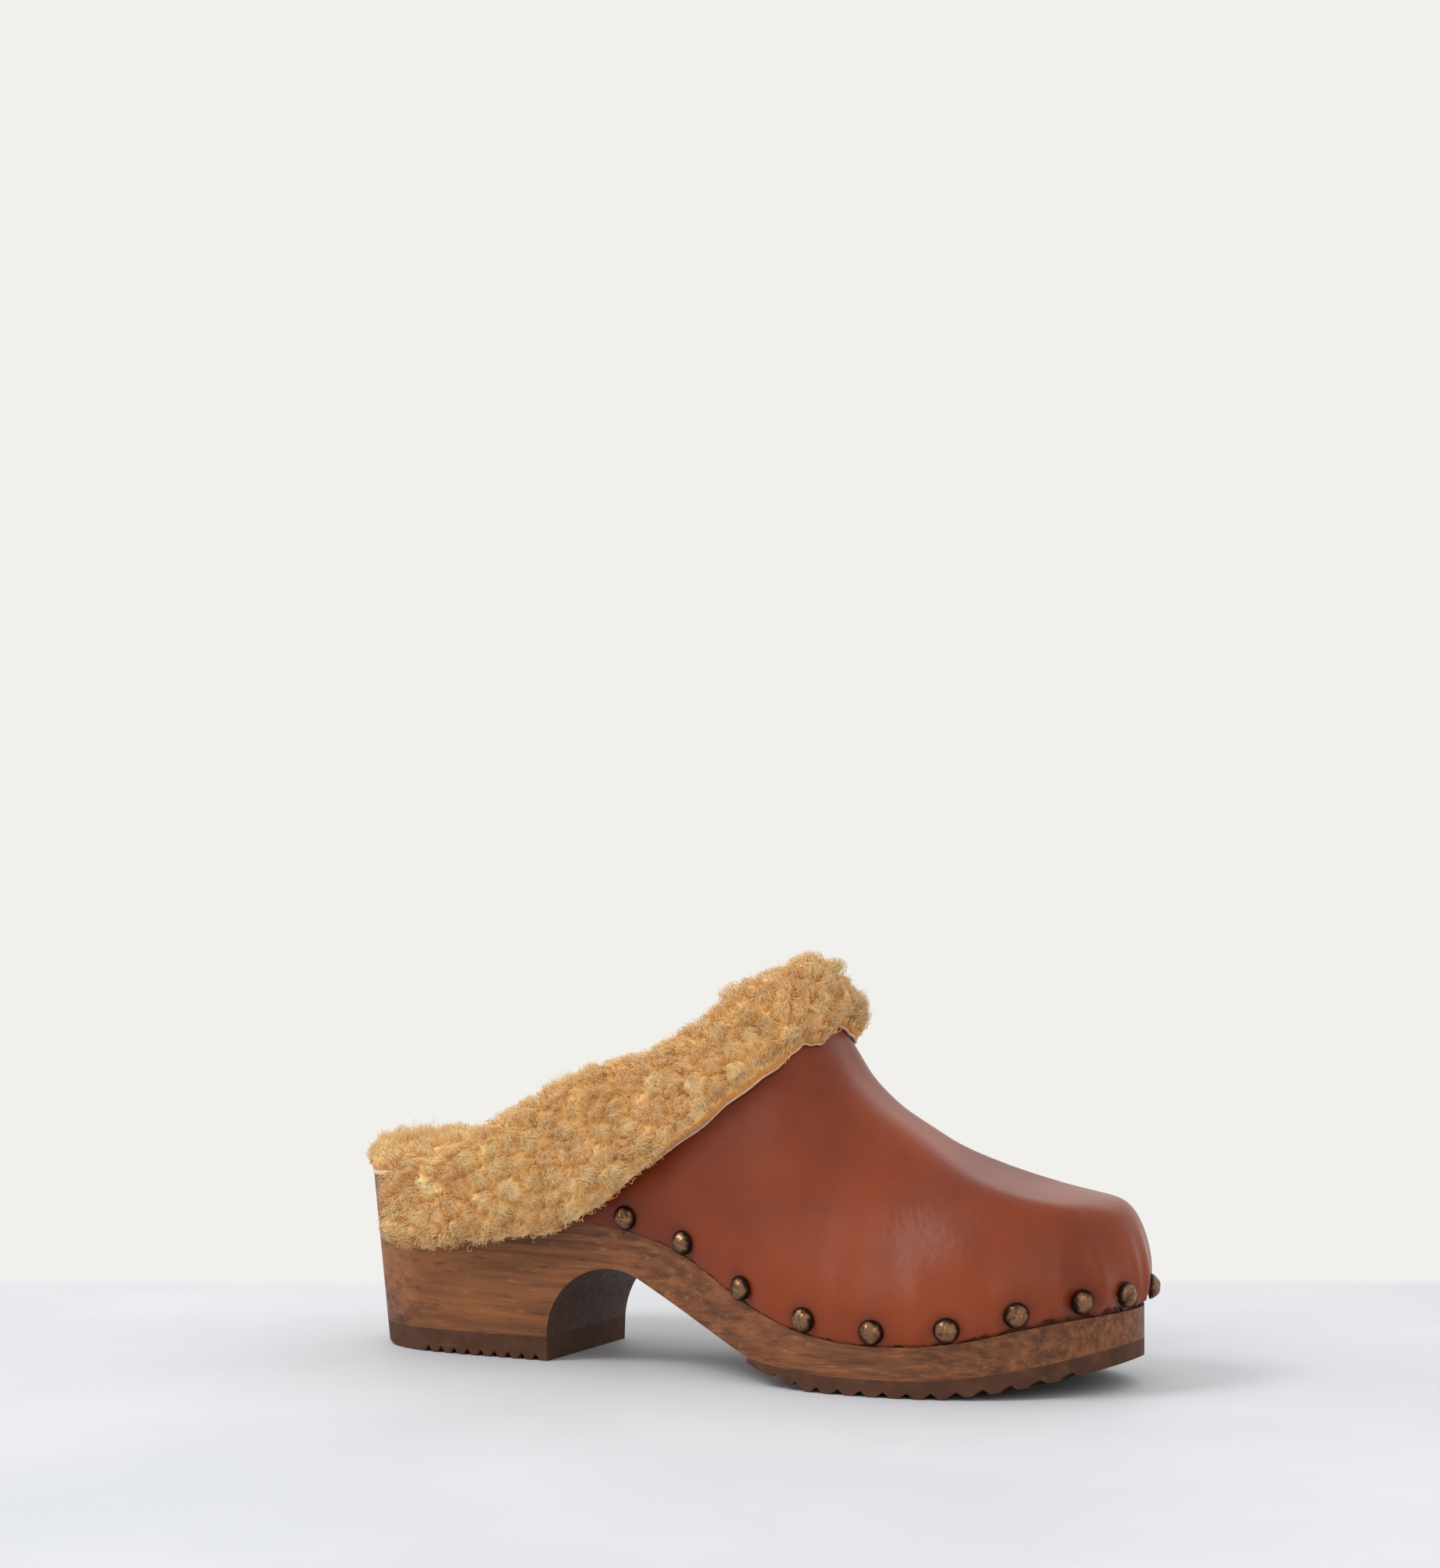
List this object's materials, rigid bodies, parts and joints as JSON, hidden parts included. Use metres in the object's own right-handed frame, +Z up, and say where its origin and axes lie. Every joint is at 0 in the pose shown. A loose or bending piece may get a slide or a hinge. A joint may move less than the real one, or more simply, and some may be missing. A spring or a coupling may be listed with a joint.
{
  "type": "wooden clog",
  "caption": "Right-foot mule clog: stained wooden sole with block heel, smooth leather vamp fixed by domed nails, and a turned-down sheepskin cuff, lining and insole.",
  "frame": {"origin": "on the floor, under the middle of the clog's bounding box", "axes": "+Z up, +X from heel to toe, +Y towards the big-toe (inner) side"},
  "size_m": [0.2638, 0.0995, 0.1283],
  "materials": {
    "stained_wood": "brown stain, satin",
    "sole_rubber": "matte brown",
    "tan_leather": "smooth, semi-gloss",
    "stiffener_board": "matte board",
    "sheep_hide": "suede side, matte",
    "sheep_wool": "curly wool pile",
    "antique_brass": "antiqued, semi-gloss"
  },
  "bodies": {
    "root": {"wooden_sole": "stained_wood", "forepart_outsole": "sole_rubber", "heel_top_lift": "sole_rubber", "vamp_leather": "tan_leather", "toe_puff": "stiffener_board", "lining_hide": "sheep_hide", "lining_wool": "sheep_wool", "cuff_hide": "sheep_hide", "cuff_wool": "sheep_wool", "insole_hide": "sheep_hide", "insole_wool": "sheep_wool", "toe_nails": "antique_brass", "outer_side_nails": "antique_brass", "inner_side_nails": "antique_brass"}
  },
  "joints": []
}
